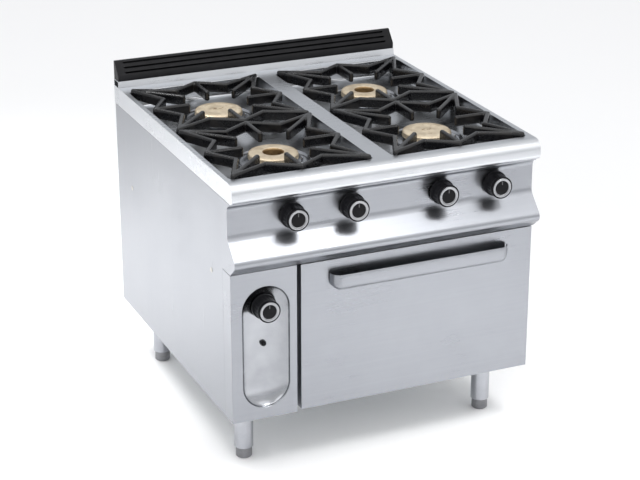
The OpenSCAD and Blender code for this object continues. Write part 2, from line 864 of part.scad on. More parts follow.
base_tray();
legs();
foot(-1, -1);  // foot_front_left
foot(1, -1);  // foot_front_right
foot(-1, 1);  // foot_rear_left
foot(1, 1);  // foot_rear_right
side_panel(-1);  // side_panel_left
side_panel(1);  // side_panel_right
side_plugs();
back_panel();
front_frame();
worktop();
flue_riser();
control_fascia();
service_panel();
control_recess();
door_outer_skin();
door_inner_skin();
door_insulation();
door_gasket();
door_handle();
door_hinges();
hinge_brackets();
oven_liner();
oven_insulation();
rack_guides();
oven_rack();
oven_floor_plate();
oven_burner();
oven_flue();
gas_inlet();
gas_manifold();
gas_taps();
supply_pipes();
oven_thermostat();
tap_spindle(0);  // tap_spindle_1
tap_spindle(1);  // tap_spindle_2
tap_spindle(2);  // tap_spindle_3
tap_spindle(3);  // tap_spindle_4
oven_spindle();
hob_knob(0);  // knob_1
hob_knob(1);  // knob_2
hob_knob(2);  // knob_3
hob_knob(3);  // knob_4
oven_knob();
knob_bezels();
igniter_body();
igniter_button();
burner_bodies();
burner_dishes();
crown(burners[0], crown_hole_r);  // crown_front_left
crown(burners[1], 0);  // crown_front_right
crown(burners[2], 0);  // crown_rear_left
crown(burners[3], crown_hole_r);  // crown_rear_right
pilot_burners();
thermocouples();
grate(burners[0]);  // grate_front_left
grate(burners[1]);  // grate_front_right
grate(burners[2]);  // grate_rear_left
grate(burners[3]);  // grate_rear_right
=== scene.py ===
import json
import math

import bmesh
import bpy
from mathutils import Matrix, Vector

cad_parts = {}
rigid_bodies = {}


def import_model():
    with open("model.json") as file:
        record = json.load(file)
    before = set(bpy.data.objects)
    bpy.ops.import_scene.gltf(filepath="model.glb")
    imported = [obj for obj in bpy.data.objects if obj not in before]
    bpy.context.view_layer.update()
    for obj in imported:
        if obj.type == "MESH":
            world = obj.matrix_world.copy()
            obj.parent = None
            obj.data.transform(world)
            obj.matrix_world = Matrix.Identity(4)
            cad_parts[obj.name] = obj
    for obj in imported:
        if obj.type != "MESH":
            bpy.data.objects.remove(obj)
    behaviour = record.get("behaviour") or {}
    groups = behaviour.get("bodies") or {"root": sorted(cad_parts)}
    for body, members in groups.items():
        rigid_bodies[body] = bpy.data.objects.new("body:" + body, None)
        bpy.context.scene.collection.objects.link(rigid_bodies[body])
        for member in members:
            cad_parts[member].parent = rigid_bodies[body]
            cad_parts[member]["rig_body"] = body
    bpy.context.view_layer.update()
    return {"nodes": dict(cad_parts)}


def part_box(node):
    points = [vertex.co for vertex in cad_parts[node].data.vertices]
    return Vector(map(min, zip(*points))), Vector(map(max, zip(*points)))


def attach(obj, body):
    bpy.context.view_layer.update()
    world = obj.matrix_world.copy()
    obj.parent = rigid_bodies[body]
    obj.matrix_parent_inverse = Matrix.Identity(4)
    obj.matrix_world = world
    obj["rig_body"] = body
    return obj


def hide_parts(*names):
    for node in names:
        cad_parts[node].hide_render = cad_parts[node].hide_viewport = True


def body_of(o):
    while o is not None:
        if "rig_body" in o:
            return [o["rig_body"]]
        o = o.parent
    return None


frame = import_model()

nodes = frame["nodes"]
cornerNames = ["front_left", "front_right", "rear_left", "rear_right"]
mm = 0.001
print("loaded", len(nodes), "nodes of the range")


# camera, sky and floor; tones are linear, places are in metres
studio = {
    "cameraAt": (-1.9254, -4.39, 2.3522),
    "cameraTurn": (math.pi / 2 - 0.3806, 0.0, -0.4153),
    "lens": 105.2,
    "floorSize": 60.0,
    "floorTone": (0.95, 0.95, 0.955, 1),
    # sky tones at the horizon, half way up and overhead, behind the range and ahead of it
    "skyBehind": [(0.0, (0.47, 0.485, 0.51, 1)), (0.5, (0.70, 0.72, 0.75, 1)), (1.0, (1.0, 1.0, 1.0, 1))],
    "skyAhead": [(0.0, (0.92, 0.93, 0.95, 1)), (0.5, (1.0, 1.0, 1.0, 1)), (1.0, (1.0, 1.0, 1.0, 1))],
    "skyStrength": 1.0,
}

# soft round lamps: name, place, where it points, size, watts, spread of the beam in degrees
lamps = [
    ("keyLamp", (-3.4, -3.2, 4.6), (0.0, -0.1, 0.5), 4.0, 38, 180),
    ("frontLamp", (1.7, -3.9, 3.5), (0.05, -0.45, 0.65), 3.4, 22, 180),
    ("topLamp", (-0.5, -0.6, 4.8), (0.0, -0.2, 0.8), 3.2, 45, 180),
    ("doorLamp", (0.9, -2.2, 3.6), (0.6, -1.35, 0.0), 1.2, 9, 50),
    ("sideLamp", (-1.7, 1.3, 3.6), (-0.95, 1.0, 0.0), 1.2, 13, 50),
]


def makeCamera():
    data = bpy.data.cameras.new("camera")
    data.sensor_width = 36.0
    data.lens = studio["lens"]
    data.clip_end = 200.0
    camera = bpy.data.objects.new("camera", data)
    camera.location = studio["cameraAt"]
    camera.rotation_euler = studio["cameraTurn"]
    bpy.context.scene.collection.objects.link(camera)
    bpy.context.scene.camera = camera


def makeLamps():
    for name, place, aim, size, watts, beam in lamps:
        data = bpy.data.lights.new(name, "AREA")
        data.shape = "DISK"
        data.size = size
        data.energy = watts
        data.spread = math.radians(beam)
        lamp = bpy.data.objects.new(name, data)
        lamp.location = place
        lamp.rotation_mode = "QUATERNION"
        lamp.rotation_quaternion = (Vector(aim) - Vector(place)).to_track_quat("-Z", "Y")
        bpy.context.scene.collection.objects.link(lamp)


class Wire:
    # one socket; sums and products of wires add Math nodes
    def __init__(self, tree, socket=None):
        self.tree = tree
        self.socket = socket

    def node(self, kind, settings=None, values=None, output=0):
        made = self.tree.nodes.new("ShaderNode" + kind)
        for name, setting in (settings or {}).items():
            if name == "stops":
                self.setStops(made.color_ramp, setting)
            else:
                setattr(made, name, setting)
        for name, value in (values or {}).items():
            if isinstance(value, Wire):
                self.tree.links.new(value.socket, made.inputs[name])
            else:
                made.inputs[name].default_value = value
        return Wire(self.tree, made.outputs[output] if made.outputs else None)

    def setStops(self, ramp, stops):
        ends = [stops[0], stops[-1]]
        for element, (spot, tone) in zip(list(ramp.elements), ends):
            element.position = spot
            element.color = tone
        for spot, tone in stops[1:-1]:
            ramp.elements.new(spot).color = tone

    def maths(self, operation, *values):
        return self.node("Math", {"operation": operation}, dict(enumerate(values)))

    def __add__(self, other):
        return self.maths("ADD", self, other)

    def __radd__(self, other):
        return self.maths("ADD", other, self)

    def __rmul__(self, other):
        return self.maths("MULTIPLY", other, self)


def startFinish(name):
    material = bpy.data.materials.new(name)
    material.use_nodes = True
    material.node_tree.nodes.clear()
    place = Wire(material.node_tree).node("TexCoord", output="Object")
    return material, place


def noiseAt(place, scale, detail=2.0, roughness=0.5):
    stretch = scale if isinstance(scale, tuple) else (scale, scale, scale)
    scaled = place.node("Mapping", None, {"Vector": place, "Scale": stretch})
    values = {"Vector": scaled, "Scale": 1.0, "Detail": detail, "Roughness": roughness}
    return place.node("TexNoise", None, values, "Fac")


def spread(value, low, high):
    # pulls a noise's middle values out to 0 and 1
    values = {0: value, 1: low, 2: high, 3: 0.0, 4: 1.0}
    return value.node("MapRange", {"clamp": True}, values)


def tint(factor, first, second):
    return factor.node("Mix", {"data_type": "RGBA"}, {0: factor, 6: first, 7: second}, 2)


def closeFinish(place, colour, roughness, metallic, height, depth, gloss={}):
    values = {"Base Color": colour, "Roughness": roughness, "Metallic": metallic}
    values.update(gloss)
    values["Normal"] = place.node("Bump", None, {"Height": height, "Distance": depth, "Strength": 1.0})
    shader = place.node("BsdfPrincipled", None, values)
    place.node("OutputMaterial", None, {"Surface": shader})


# steel brushed along one axis; the front and side tones are darker than the top's, painted shade on the same
# steel
steelLooks = {
    # front and side: the worktop's steel toned darker as painted shade
    "brushedFrontShaded": {"along": 0, "bright": (0.37, 0.382, 0.41, 1), "dull": (0.29, 0.30, 0.324, 1),
                     "roughness": 0.32, "depth": 0.000006},
    "brushedSideShaded": {"along": 2, "bright": (0.37, 0.382, 0.41, 1), "dull": (0.29, 0.30, 0.324, 1),
                    "roughness": 0.33, "depth": 0.000006},
    "brushedTop": {"along": 0, "bright": (0.63, 0.645, 0.67, 1), "dull": (0.55, 0.565, 0.59, 1),
                   "roughness": 0.30, "depth": 0.0000015},
    "brushedBase": {"along": 0, "bright": (0.5, 0.515, 0.53, 1), "dull": (0.38, 0.39, 0.4, 1),
                    "roughness": 0.42, "depth": 0.000008},
}


def brushedSteel(name):
    look = steelLooks[name]
    material, place = startFinish(name)
    fine = tuple(5.0 if axis == look["along"] else 850.0 for axis in range(3))
    wide = tuple(1.6 if axis == look["along"] else 140.0 for axis in range(3))
    brush = noiseAt(place, fine, 3.0, 0.6)
    bands = noiseAt(place, wide, 2.0)
    smears = spread(noiseAt(place, 5.0, 4.0, 0.55), 0.35, 0.68)
    grain = 0.55 * brush + 0.45 * bands
    colour = tint(0.65 * grain + 0.35 * smears, look["dull"], look["bright"])
    roughness = 0.2 * grain + 0.08 * smears + (look["roughness"] - 0.14)
    closeFinish(place, colour, roughness, 1.0, grain, look["depth"])
    return material


mirrorLooks = {
    "polishedSteel": {"bright": (0.42, 0.43, 0.455, 1), "dull": (0.30, 0.31, 0.33, 1), "roughness": 0.16,
                      "stretch": (30.0, 30.0, 30.0), "depth": 0.00006},
    "chrome": {"bright": (0.52, 0.53, 0.56, 1), "dull": (0.34, 0.35, 0.38, 1), "roughness": 0.10,
               "stretch": (60.0, 60.0, 3.0), "depth": 0.00005},
    "ringChrome": {"bright": (0.42, 0.425, 0.44, 1), "dull": (0.30, 0.305, 0.32, 1), "roughness": 0.24,
                   "stretch": (220.0, 220.0, 220.0), "depth": 0.000006},
}


def mirrorMetal(name):
    look = mirrorLooks[name]
    material, place = startFinish(name)
    waves = noiseAt(place, look["stretch"], 2.0)
    scuffs = spread(noiseAt(place, 420.0, 5.0, 0.7), 0.52, 0.78)
    haze = spread(noiseAt(place, 18.0, 3.0), 0.35, 0.7)
    colour = tint(0.5 * haze + 0.5 * waves, look["dull"], look["bright"])
    roughness = look["roughness"] + 0.12 * scuffs + 0.07 * haze
    closeFinish(place, colour, roughness, 1.0, waves, look["depth"])
    return material


def castIronEnamel():
    material, place = startFinish("castIronEnamel")
    lumps = noiseAt(place, 110.0, 4.0, 0.6)
    pebbles = noiseAt(place, 650.0, 2.0)
    burnt = spread(noiseAt(place, 16.0, 4.0, 0.6), 0.5, 0.75)
    colour = tint(burnt, (0.004, 0.004, 0.005, 1), (0.014, 0.012, 0.011, 1))
    roughness = 0.2 + 0.14 * lumps + 0.2 * burnt
    closeFinish(place, colour, roughness, 0.0, 0.75 * lumps + 0.25 * pebbles, 0.0003,
                {"Coat Weight": 0.25, "Coat Roughness": 0.14, "Specular IOR Level": 0.3})
    return material


def brassCrown(name, bright, dull, stain):
    material, place = startFinish(name)
    cast = noiseAt(place, 320.0, 3.0, 0.6)
    patches = spread(noiseAt(place, 38.0, 4.0, 0.6), 0.35, 0.7)
    scorch = spread(noiseAt(place, (60.0, 60.0, 140.0), 5.0, 0.65), 0.56, 0.74)
    colour = tint(0.75 * scorch, tint(patches, bright, dull), stain)
    roughness = 0.34 + 0.16 * cast + 0.16 * scorch
    closeFinish(place, colour, roughness, 0.55 + 0.25 * patches, cast, 0.00025)
    return material


paintLooks = {
    # pale and dark tones, roughness, bumps per metre, bump depth, metallic, sheen of the surface
    "blackSheet": ((0.016, 0.016, 0.018, 1), (0.005, 0.005, 0.006, 1), 0.36, 900.0, 0.00006, 0.0, 0.18),
    "knobBlack": ((0.012, 0.012, 0.014, 1), (0.004, 0.004, 0.005, 1), 0.26, 1500.0, 0.00003, 0.0, 0.12),
    "trimPlastic": ((0.040, 0.040, 0.043, 1), (0.016, 0.016, 0.018, 1), 0.42, 1300.0, 0.00005, 0.0, 0.25),
    "footPlastic": ((0.34, 0.345, 0.36, 1), (0.20, 0.20, 0.21, 1), 0.30, 700.0, 0.00004, 0.8, 0.4),
    # burner bodies: painted near black as shade, so the cup seen through a ring's hole looks dark
    "shadedCasting": ((0.060, 0.055, 0.050, 1), (0.018, 0.016, 0.015, 1), 0.60, 700.0, 0.0003, 0.3, 0.3),
    "castAluminium": ((0.62, 0.62, 0.63, 1), (0.40, 0.39, 0.385, 1), 0.46, 800.0, 0.0003, 0.9, 0.5),
    "zincSteel": ((0.66, 0.65, 0.61, 1), (0.47, 0.46, 0.42, 1), 0.34, 500.0, 0.00005, 1.0, 0.5),
    "turnedBrass": ((0.86, 0.66, 0.30, 1), (0.60, 0.41, 0.15, 1), 0.27, 420.0, 0.00004, 1.0, 0.5),
    "ceramicWhite": ((0.86, 0.85, 0.80, 1), (0.66, 0.60, 0.50, 1), 0.30, 600.0, 0.00004, 0.0, 0.5),
    "mineralWool": ((0.68, 0.58, 0.33, 1), (0.42, 0.33, 0.16, 1), 0.90, 700.0, 0.0012, 0.0, 0.2),
    "markInk": ((0.16, 0.16, 0.165, 1), (0.10, 0.10, 0.105, 1), 0.45, 1500.0, 0.00002, 0.0, 0.3),
}


def paintedFinish(name):
    pale, dark, rough, bumps, depth, metallic, shine = paintLooks[name]
    material, place = startFinish(name)
    skin = noiseAt(place, bumps, 3.0, 0.6)
    patches = spread(noiseAt(place, 24.0, 4.0, 0.6), 0.32, 0.7)
    rubbed = spread(noiseAt(place, (35.0, 35.0, 210.0), 4.0, 0.7), 0.54, 0.74)
    colour = tint(0.45 * patches + 0.35 * rubbed + 0.2 * skin, dark, pale)
    roughness = rough + 0.12 * patches + 0.08 * skin
    closeFinish(place, colour, roughness, metallic, skin, depth, {"Specular IOR Level": shine})
    return material


def speckledEnamel():
    material, place = startFinish("speckledEnamel")
    specks = spread(noiseAt(place, 520.0, 1.0), 0.68, 0.72)
    baked = spread(noiseAt(place, 7.0, 4.0, 0.6), 0.45, 0.75)
    ground = tint(baked, (0.035, 0.042, 0.060, 1), (0.030, 0.024, 0.020, 1))
    colour = tint(specks, ground, (0.36, 0.38, 0.42, 1))
    waves = noiseAt(place, 90.0, 2.0)
    closeFinish(place, colour, 0.22 + 0.25 * baked, 0.0, waves, 0.0003)
    return material


def galvanisedSheet():
    material, place = startFinish("galvanisedSheet")
    wander = place.node("Mapping", None, {"Vector": place, "Scale": (70.0, 70.0, 70.0)})
    flake = place.node("TexVoronoi", {"feature": "F1"}, {"Vector": wander, "Scale": 1.0}, "Color")
    tone = place.node("SeparateColor", None, {"Color": flake})
    dull = spread(noiseAt(place, 9.0, 4.0), 0.35, 0.7)
    colour = tint(0.7 * tone + 0.3 * dull, (0.46, 0.48, 0.49, 1), (0.70, 0.72, 0.73, 1))
    closeFinish(place, colour, 0.34 + 0.18 * tone + 0.1 * dull, 1.0, tone, 0.00002)
    return material


def braidedRope():
    material, place = startFinish("braidedRope")
    strands = []
    for turn in (0.8, -0.8):
        values = {"Vector": place, "Rotation": (turn, turn, turn)}
        slant = place.node("Mapping", None, values)
        values = {"Vector": slant, "Scale": 110.0, "Distortion": 0.6}
        strands.append(place.node("TexWave", None, values, "Fac"))
    weave = strands[0].maths("MAXIMUM", strands[0], strands[1])
    fuzz = noiseAt(place, 900.0, 3.0, 0.7)
    colour = tint(0.6 * weave + 0.4 * fuzz, (0.06, 0.06, 0.06, 1), (0.34, 0.33, 0.31, 1))
    closeFinish(place, colour, 0.85 + 0.1 * fuzz, 0.0, 0.8 * weave + 0.2 * fuzz, 0.0008)
    return material


def floorPaint():
    material, place = startFinish("floorPaint")
    mottle = noiseAt(place, 3.0, 4.0, 0.5)
    colour = tint(mottle, studio["floorTone"], tuple(0.985 * v for v in studio["floorTone"][:3]) + (1,))
    closeFinish(place, colour, 0.8 + 0.1 * mottle, 0.0, noiseAt(place, 300.0), 0.0001)
    return material


def makeWorld():
    world = bpy.data.worlds.new("studioSky")
    bpy.context.scene.world = world
    world.use_nodes = True
    world.node_tree.nodes.clear()
    sky = Wire(world.node_tree)
    way = sky.node("TexCoord", output="Generated")
    up = way.node("SeparateXYZ", None, {"Vector": way}, "Z")
    ahead = spread(way.node("SeparateXYZ", None, {"Vector": way}, "Y"), 0.35, -0.35)
    behindGlow = up.node("ValToRGB", {"stops": studio["skyBehind"]}, {"Fac": up})
    aheadGlow = up.node("ValToRGB", {"stops": studio["skyAhead"]}, {"Fac": up})
    glow = tint(ahead, behindGlow, aheadGlow)
    light = glow.node("Background", None, {"Color": glow, "Strength": studio["skyStrength"]})
    light.node("OutputWorld", None, {"Surface": light})


def makeFloor(paint):
    half = studio["floorSize"] / 2
    form = bmesh.new()
    corners = ((-1, -1), (1, -1), (1, 1), (-1, 1))
    form.faces.new([form.verts.new((x * half, y * half, 0.0)) for x, y in corners])
    mesh = bpy.data.meshes.new("floor")
    form.to_mesh(mesh)
    form.free()
    mesh.materials.append(paint)
    floor = bpy.data.objects.new("floor", mesh)
    bpy.context.scene.collection.objects.link(floor)


makeCamera()
makeLamps()
makeWorld()
makeFloor(floorPaint())
bpy.context.scene.view_settings.view_transform = "Standard"
print("camera, lamps, sky and floor are in place")

# the front and side steels are darker copies of the top's steel: painted shade
steelFrontShaded = brushedSteel("brushedFrontShaded")
steelSideShaded = brushedSteel("brushedSideShaded")
steelTop = brushedSteel("brushedTop")
steelBase = brushedSteel("brushedBase")
polished = mirrorMetal("polishedSteel")
chrome = mirrorMetal("chrome")
ringChrome = mirrorMetal("ringChrome")
ironEnamel = castIronEnamel()
crownBrass = brassCrown("crownBrass", (0.70, 0.60, 0.45, 1), (0.52, 0.42, 0.29, 1), (0.34, 0.23, 0.13, 1))
# the dark brass serves the scorch marks on the caps and the painted shade in the crowns' throats and
# undersides
scorchAndShadeBrass = brassCrown("scorchAndShadeBrass", (0.34, 0.22, 0.10, 1), (0.20, 0.12, 0.05, 1),
                           (0.06, 0.035, 0.02, 1))
painted = {name: paintedFinish(name) for name in paintLooks}
enamel = speckledEnamel()
galvanised = galvanisedSheet()
rope = braidedRope()
print("finishes are mixed")


def bodyOf(node):
    return body_of(nodes[node])[0]


def skin(form, loops, closed=False, finish=0):
    # faces between loops of equal length; open ends get a cap
    rings = [[form.verts.new(point) for point in loop] for loop in loops]
    pairs = list(zip(rings, rings[1:]))
    if closed:
        pairs.append((rings[-1], rings[0]))
    made = []
    for a, b in pairs:
        for i in range(len(a)):
            j = (i + 1) % len(a)
            made.append(form.faces.new((a[i], a[j], b[j], b[i])))
    if not closed:
        made.append(form.faces.new(list(reversed(rings[0]))))
        made.append(form.faces.new(rings[-1]))
    for face in made:
        face.material_index = finish


def turn(form, profile, centre, axis="up", around=64, closed=False, bite=None):
    # a profile of radius and height turned round an axis that points up or to the front
    loops = []
    for step, (radius, height) in enumerate(profile):
        loop = []
        for i in range(around):
            angle = 2 * math.pi * i / around
            size = radius - (bite(step, i) if bite else 0.0)
            across, along = size * math.cos(angle), size * math.sin(angle)
            offset = (across, along, height) if axis == "up" else (across, -height, along)
            loop.append(Vector(centre) + Vector(offset) * mm)
        loops.append(loop)
    skin(form, loops, closed)


def arcPoints(centre, radius, start, end, steps):
    angles = [math.radians(start + (end - start) * i / steps) for i in range(steps + 1)]
    return [(centre[0] + radius * math.cos(a), centre[1] + radius * math.sin(a)) for a in angles]


def addPiece(name, form, finishes, node, stands=True, crease=42):
    bmesh.ops.recalc_face_normals(form, faces=form.faces[:])
    mesh = bpy.data.meshes.new(name)
    form.to_mesh(mesh)
    form.free()
    for finish in finishes if isinstance(finishes, list) else [finishes]:
        mesh.materials.append(finish)
    mesh.polygons.foreach_set("use_smooth", [True] * len(mesh.polygons))
    mesh.set_sharp_from_angle(angle=math.radians(crease))
    piece = bpy.data.objects.new(name, mesh)
    bpy.context.scene.collection.objects.link(piece)
    piece.modifiers.new("flatFaces", "WEIGHTED_NORMAL").keep_sharp = True
    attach(piece, bodyOf(node))
    if stands:
        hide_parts(node)
    return piece


def foldOf(edge):
    return edge.calc_face_angle(0.0) if edge.is_manifold else 0.0


def softEdged(node, finish, edge=0.5, steps=2, rounds=(), crease=42):
    # the node's own shape with its sharp edges eased, and chosen edges rounded first
    form = bmesh.new()
    form.from_mesh(nodes[node].data)
    bmesh.ops.remove_doubles(form, verts=form.verts[:], dist=2e-6)
    bmesh.ops.dissolve_limit(form, angle_limit=math.radians(0.4), verts=form.verts[:], edges=form.edges[:])
    for wanted, radius, count in rounds:
        chosen = [e for e in form.edges if foldOf(e) > 0.9 and wanted(e.verts[0].co, e.verts[1].co)]
        if chosen:
            bmesh.ops.bevel(form, geom=chosen, offset=radius * mm, offset_type="OFFSET", segments=count,
                            profile=0.5, affect="EDGES", clamp_overlap=True)
    if edge:
        sharp = [e for e in form.edges if foldOf(e) > 0.7]
        bmesh.ops.bevel(form, geom=sharp, offset=edge * mm, offset_type="OFFSET", segments=steps,
                        profile=0.5, affect="EDGES", clamp_overlap=True)
    return addPiece(node + "_eased", form, finish, node, crease=crease)


def repaint(node, finish):
    mesh = nodes[node].data
    mesh.materials.clear()
    mesh.materials.append(finish)


worktopLook = {
    "rimRound": 3.5, "rimSteps": 4, "floorRound": 9.0, "floorSteps": 6, "near": 0.1,
    "grateRise": 10.0, "footGap": 0.3, "riserGap": 8.0, "sideIn": 6.0, "frontIn": 30.0,
    # a well's middle, and how far from it the bare floor reaches
    "wellX": 218.5, "wellY": -29.5, "clearX": 60.0, "clearY": 300.0,
}


def makeWorktop():
    look = worktopLook
    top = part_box("grate_front_left")[1].z - look["grateRise"] * mm
    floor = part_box("grate_front_left")[0].z - look["footGap"] * mm
    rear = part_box("flue_riser")[0].y - look["riserGap"] * mm
    low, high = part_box("worktop")
    left, right = low.x + look["sideIn"] * mm, high.x - look["sideIn"] * mm
    front = low.y + look["frontIn"] * mm

    def inside(a, b):
        return all(left < p.x < right and front < p.y < rear for p in (a, b))

    def level(a, b, height):
        return abs(a.z - height) < look["near"] * mm and abs(b.z - height) < look["near"] * mm

    def atEdge(p):
        acrossWell, alongWell = abs(abs(p.x) - look["wellX"] * mm), abs(p.y - look["wellY"] * mm)
        return acrossWell > look["clearX"] * mm or alongWell > look["clearY"] * mm

    def onRim(a, b):
        return inside(a, b) and level(a, b, top)

    def onFloor(a, b):
        return inside(a, b) and atEdge(a) and atEdge(b) and level(a, b, floor)

    rounds = [(onRim, look["rimRound"], look["rimSteps"]),
              (onFloor, look["floorRound"], look["floorSteps"])]
    softEdged("worktop", steelTop, 0.6, 2, rounds)


makeWorktop()
softEdged("control_fascia", steelFrontShaded, 0.6)
softEdged("service_panel", steelFrontShaded, 0.8)
softEdged("side_panel_left", steelSideShaded, 0.5)
softEdged("side_panel_right", steelSideShaded, 0.5)
softEdged("side_plugs", painted["zincSteel"], 0.4)
softEdged("back_panel", galvanised, 0.3)
softEdged("base_tray", galvanised, 0.5)
softEdged("front_frame", steelBase, 0.4)
print("panels and worktop are eased")

riserLook = {
    "slots": 3, "lipOut": 3.2, "lipRise": 3.4, "slim": 0.8, "inset": 21.0, "foot": 16.0, "lean": 30.0,
}


def makeRiser():
    # a rolled lip over each of the riser's slots, lying on its slope
    softEdged("flue_riser", painted["blackSheet"], 0.7, 3)
    low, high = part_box("flue_riser")
    foot = low + Vector((0, 0, riserLook["foot"] * mm))
    slope = Vector((0, riserLook["lean"] * mm, high.z - foot.z))
    rise = slope.normalized()
    out = Vector((0, -slope.z, slope.y)).normalized()
    form = bmesh.new()
    count = riserLook["slots"]
    for i in range(count):
        seat = Vector((0, foot.y, foot.z)) + slope * ((i + 0.5) / count) + rise * riserLook["lipRise"] * mm
        tip = riserLook["lipOut"]
        points = []
        for reach, up in ((-0.3, 2.4), (1.2, 2.2), (tip, -0.4), (tip, -1.6), (2.0, -1.2), (-0.3, 0.8)):
            points.append(seat + out * reach * mm * riserLook["slim"] + rise * up * mm)
        ends = [low.x + riserLook["inset"] * mm, high.x - riserLook["inset"] * mm]
        skin(form, [[Vector((x, p.y, p.z)) for p in points] for x in ends])
    addPiece("riser_lips", form, painted["blackSheet"], "flue_riser", stands=False)


makeRiser()

screwLook = {
    "head": 5.2, "proud": 2.2, "along": [-380, -190, 0, 190, 380], "aboveFoot": 14.0, "belowTop": 24.0,
}


def makeScrews():
    # pan heads that hold the back panel
    form = bmesh.new()
    low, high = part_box("back_panel")
    head, proud = screwLook["head"], screwLook["proud"]
    dome = [(0.6, 0.2), (head, 0.2), (head, -0.4), (4.3, -1.7), (2.4, -proud), (1.5, -proud), (1.2, -1.3),
            (0.5, -1.3)]
    for x in screwLook["along"]:
        for z in (low.z + screwLook["aboveFoot"] * mm, high.z - screwLook["belowTop"] * mm):
            turn(form, dome, (x * mm, high.y, z), "front", 20)
    addPiece("back_screws", form, painted["zincSteel"], "back_panel", stands=False)


makeScrews()

# size of the dark strip painted in as the shadow line under the worktop's lip
lipShadowLook = {"tall": 2.6, "proud": 0.7, "sunk": 0.3, "aboveFascia": 1.0}


def makeLipShadowStrips():
    # a dark strip put in as the painted shadow line under the worktop's lip, where each side panel meets it
    tall, proud, sunk = lipShadowLook["tall"], lipShadowLook["proud"], lipShadowLook["sunk"]
    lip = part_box("control_fascia")[1].z + lipShadowLook["aboveFascia"] * mm
    front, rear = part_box("front_frame")[0].y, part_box("side_panel_left")[1].y
    form = bmesh.new()
    for side in (-1, 1):
        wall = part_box("side_panel_left")[0].x if side < 0 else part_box("side_panel_right")[1].x
        section = [(-sunk, 0.0), (proud - 0.2, 0.0), (proud, -0.6), (proud - 0.1, 0.5 - tall),
                   (proud - 0.5, -tall), (-sunk, -tall)]
        skin(form, [[(wall + side * x * mm, y, lip + z * mm) for x, z in section] for y in (front, rear)])
    addPiece("lip_shadow_strips", form, painted["trimPlastic"], "worktop", stands=False)


makeLipShadowStrips()

recessLook = {"flange": 12.0, "sheet": 2.0, "hollow": 2.0, "steps": 22, "around": 40, "lastShare": 0.985}


def makeRecess():
    # a pressed trough with round ends; its floor curves up into the panel
    low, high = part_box("control_recess")
    flange = recessLook["flange"]
    middle = (low + high) / 2
    half = (high.x - low.x) / 2 / mm - flange
    tall = (high.z - low.z) / 2 / mm - flange
    straight = tall - half
    front = low.y
    depth = (high.y - low.y) / mm - recessLook["sheet"]

    def outline(radius, y):
        points = []
        for up in (1, -1):
            start = 0 if up > 0 else 180
            for x, z in arcPoints((0, 0), radius, start, start + 180, recessLook["around"]):
                points.append((middle.x + x * mm, y, middle.z + (up * straight + z) * mm))
        return points

    loops = []
    steps = recessLook["steps"]
    for i in range(steps + 1):
        share = math.cos(math.pi / 2 * i / steps * recessLook["lastShare"])
        sink = (1 - share ** recessLook["hollow"]) ** (1 / recessLook["hollow"])
        loops.append(outline(half * share, front + depth * sink * mm))
    behind = front + recessLook["sheet"] * mm
    rim = [outline(half + 0.3, front + 0.4 * mm), outline(half + 1.2, front),
           outline(half + flange - 0.6, front)]
    back = [outline(radius, y) for radius, y in (
        (half + flange, behind), (half + 2.6, behind),
        (half + 2.0, front + 4 * mm), (half + 1.0, high.y - 13 * mm), (half * 0.86, high.y - 5 * mm),
        (half * 0.55, high.y), (8.0, high.y))]
    form = bmesh.new()
    skin(form, loops[:0:-1] + rim + back)
    addPiece("service_recess", form, polished, "control_recess", crease=60)


makeRecess()

knobLook = {
    "body": [(8.0, 2.0), (28.0, 2.0), (28.6, 0.0), (32.2, 0.0), (33.0, 0.9), (33.0, 7.6), (32.3, 9.2),
             (30.6, 11.0), (29.4, 14.0), (28.6, 20.0), (28.4, 30.0), (29.2, 33.5), (29.6, 35.5), (29.6, 41.0),
             (28.8, 42.6), (27.4, 43.0), (25.9, 42.4), (25.6, 41.2), (19.4, 41.2), (18.9, 41.9), (18.2, 42.3),
             (16.0, 42.6), (2.0, 42.7)],
    "ring": [(26.0, 40.6), (26.0, 42.4), (25.4, 43.5), (24.0, 44.0), (22.0, 43.6), (19.9, 42.9),
             (18.9, 42.2), (18.8, 41.0), (22.4, 40.6)],
    "grips": 18, "gripDepth": 0.7,
    "markReach": (8.5, 17.0), "markHalf": 1.0,  # pointer line: from and to, and half its width
}


def makeKnob(node):
    low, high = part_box(node)
    centre = ((low.x + high.x) / 2, high.y, (low.z + high.z) / 2)
    around = knobLook["grips"] * 6

    def grip(step, i):
        return knobLook["gripDepth"] if 8 <= step <= 11 and i % 6 in (0, 1) else 0.0

    form = bmesh.new()
    turn(form, knobLook["body"], centre, "front", around, bite=grip)
    addPiece(node + "_body", form, painted["knobBlack"], node, crease=38)
    form = bmesh.new()
    turn(form, knobLook["ring"], centre, "front", 96, closed=True)
    addPiece(node + "_ring", form, ringChrome, node, stands=False)
    form = bmesh.new()
    near, far = knobLook["markReach"]
    half = knobLook["markHalf"]
    loops = []
    for rise, size in ((42.3, half), (42.85, half), (43.0, half - 0.3)):
        outline = [(-size, near), (size, near), (size, far - 0.6), (size - 0.6, far), (0.6 - size, far),
                   (-size, far - 0.6)]
        loops.append([Vector(centre) + Vector((x, -rise, z)) * mm for x, z in outline])
    skin(form, loops)
    addPiece(node + "_mark", form, painted["markInk"], node, stands=False)


for knob in ["knob_1", "knob_2", "knob_3", "knob_4", "oven_knob"]:
    makeKnob(knob)
softEdged("knob_bezels", painted["trimPlastic"], 0.5)
softEdged("igniter_body", painted["trimPlastic"], 0.8, 3)
softEdged("igniter_button", painted["knobBlack"], 1.2, 3)
print("service recess, knobs and igniter are made")

handleLook = {
    "endRound": 26.0, "endSteps": 10, "sheet": 2.2, "corner": 18.0, "cornerSteps": 9, "endShare": 0.12,
}


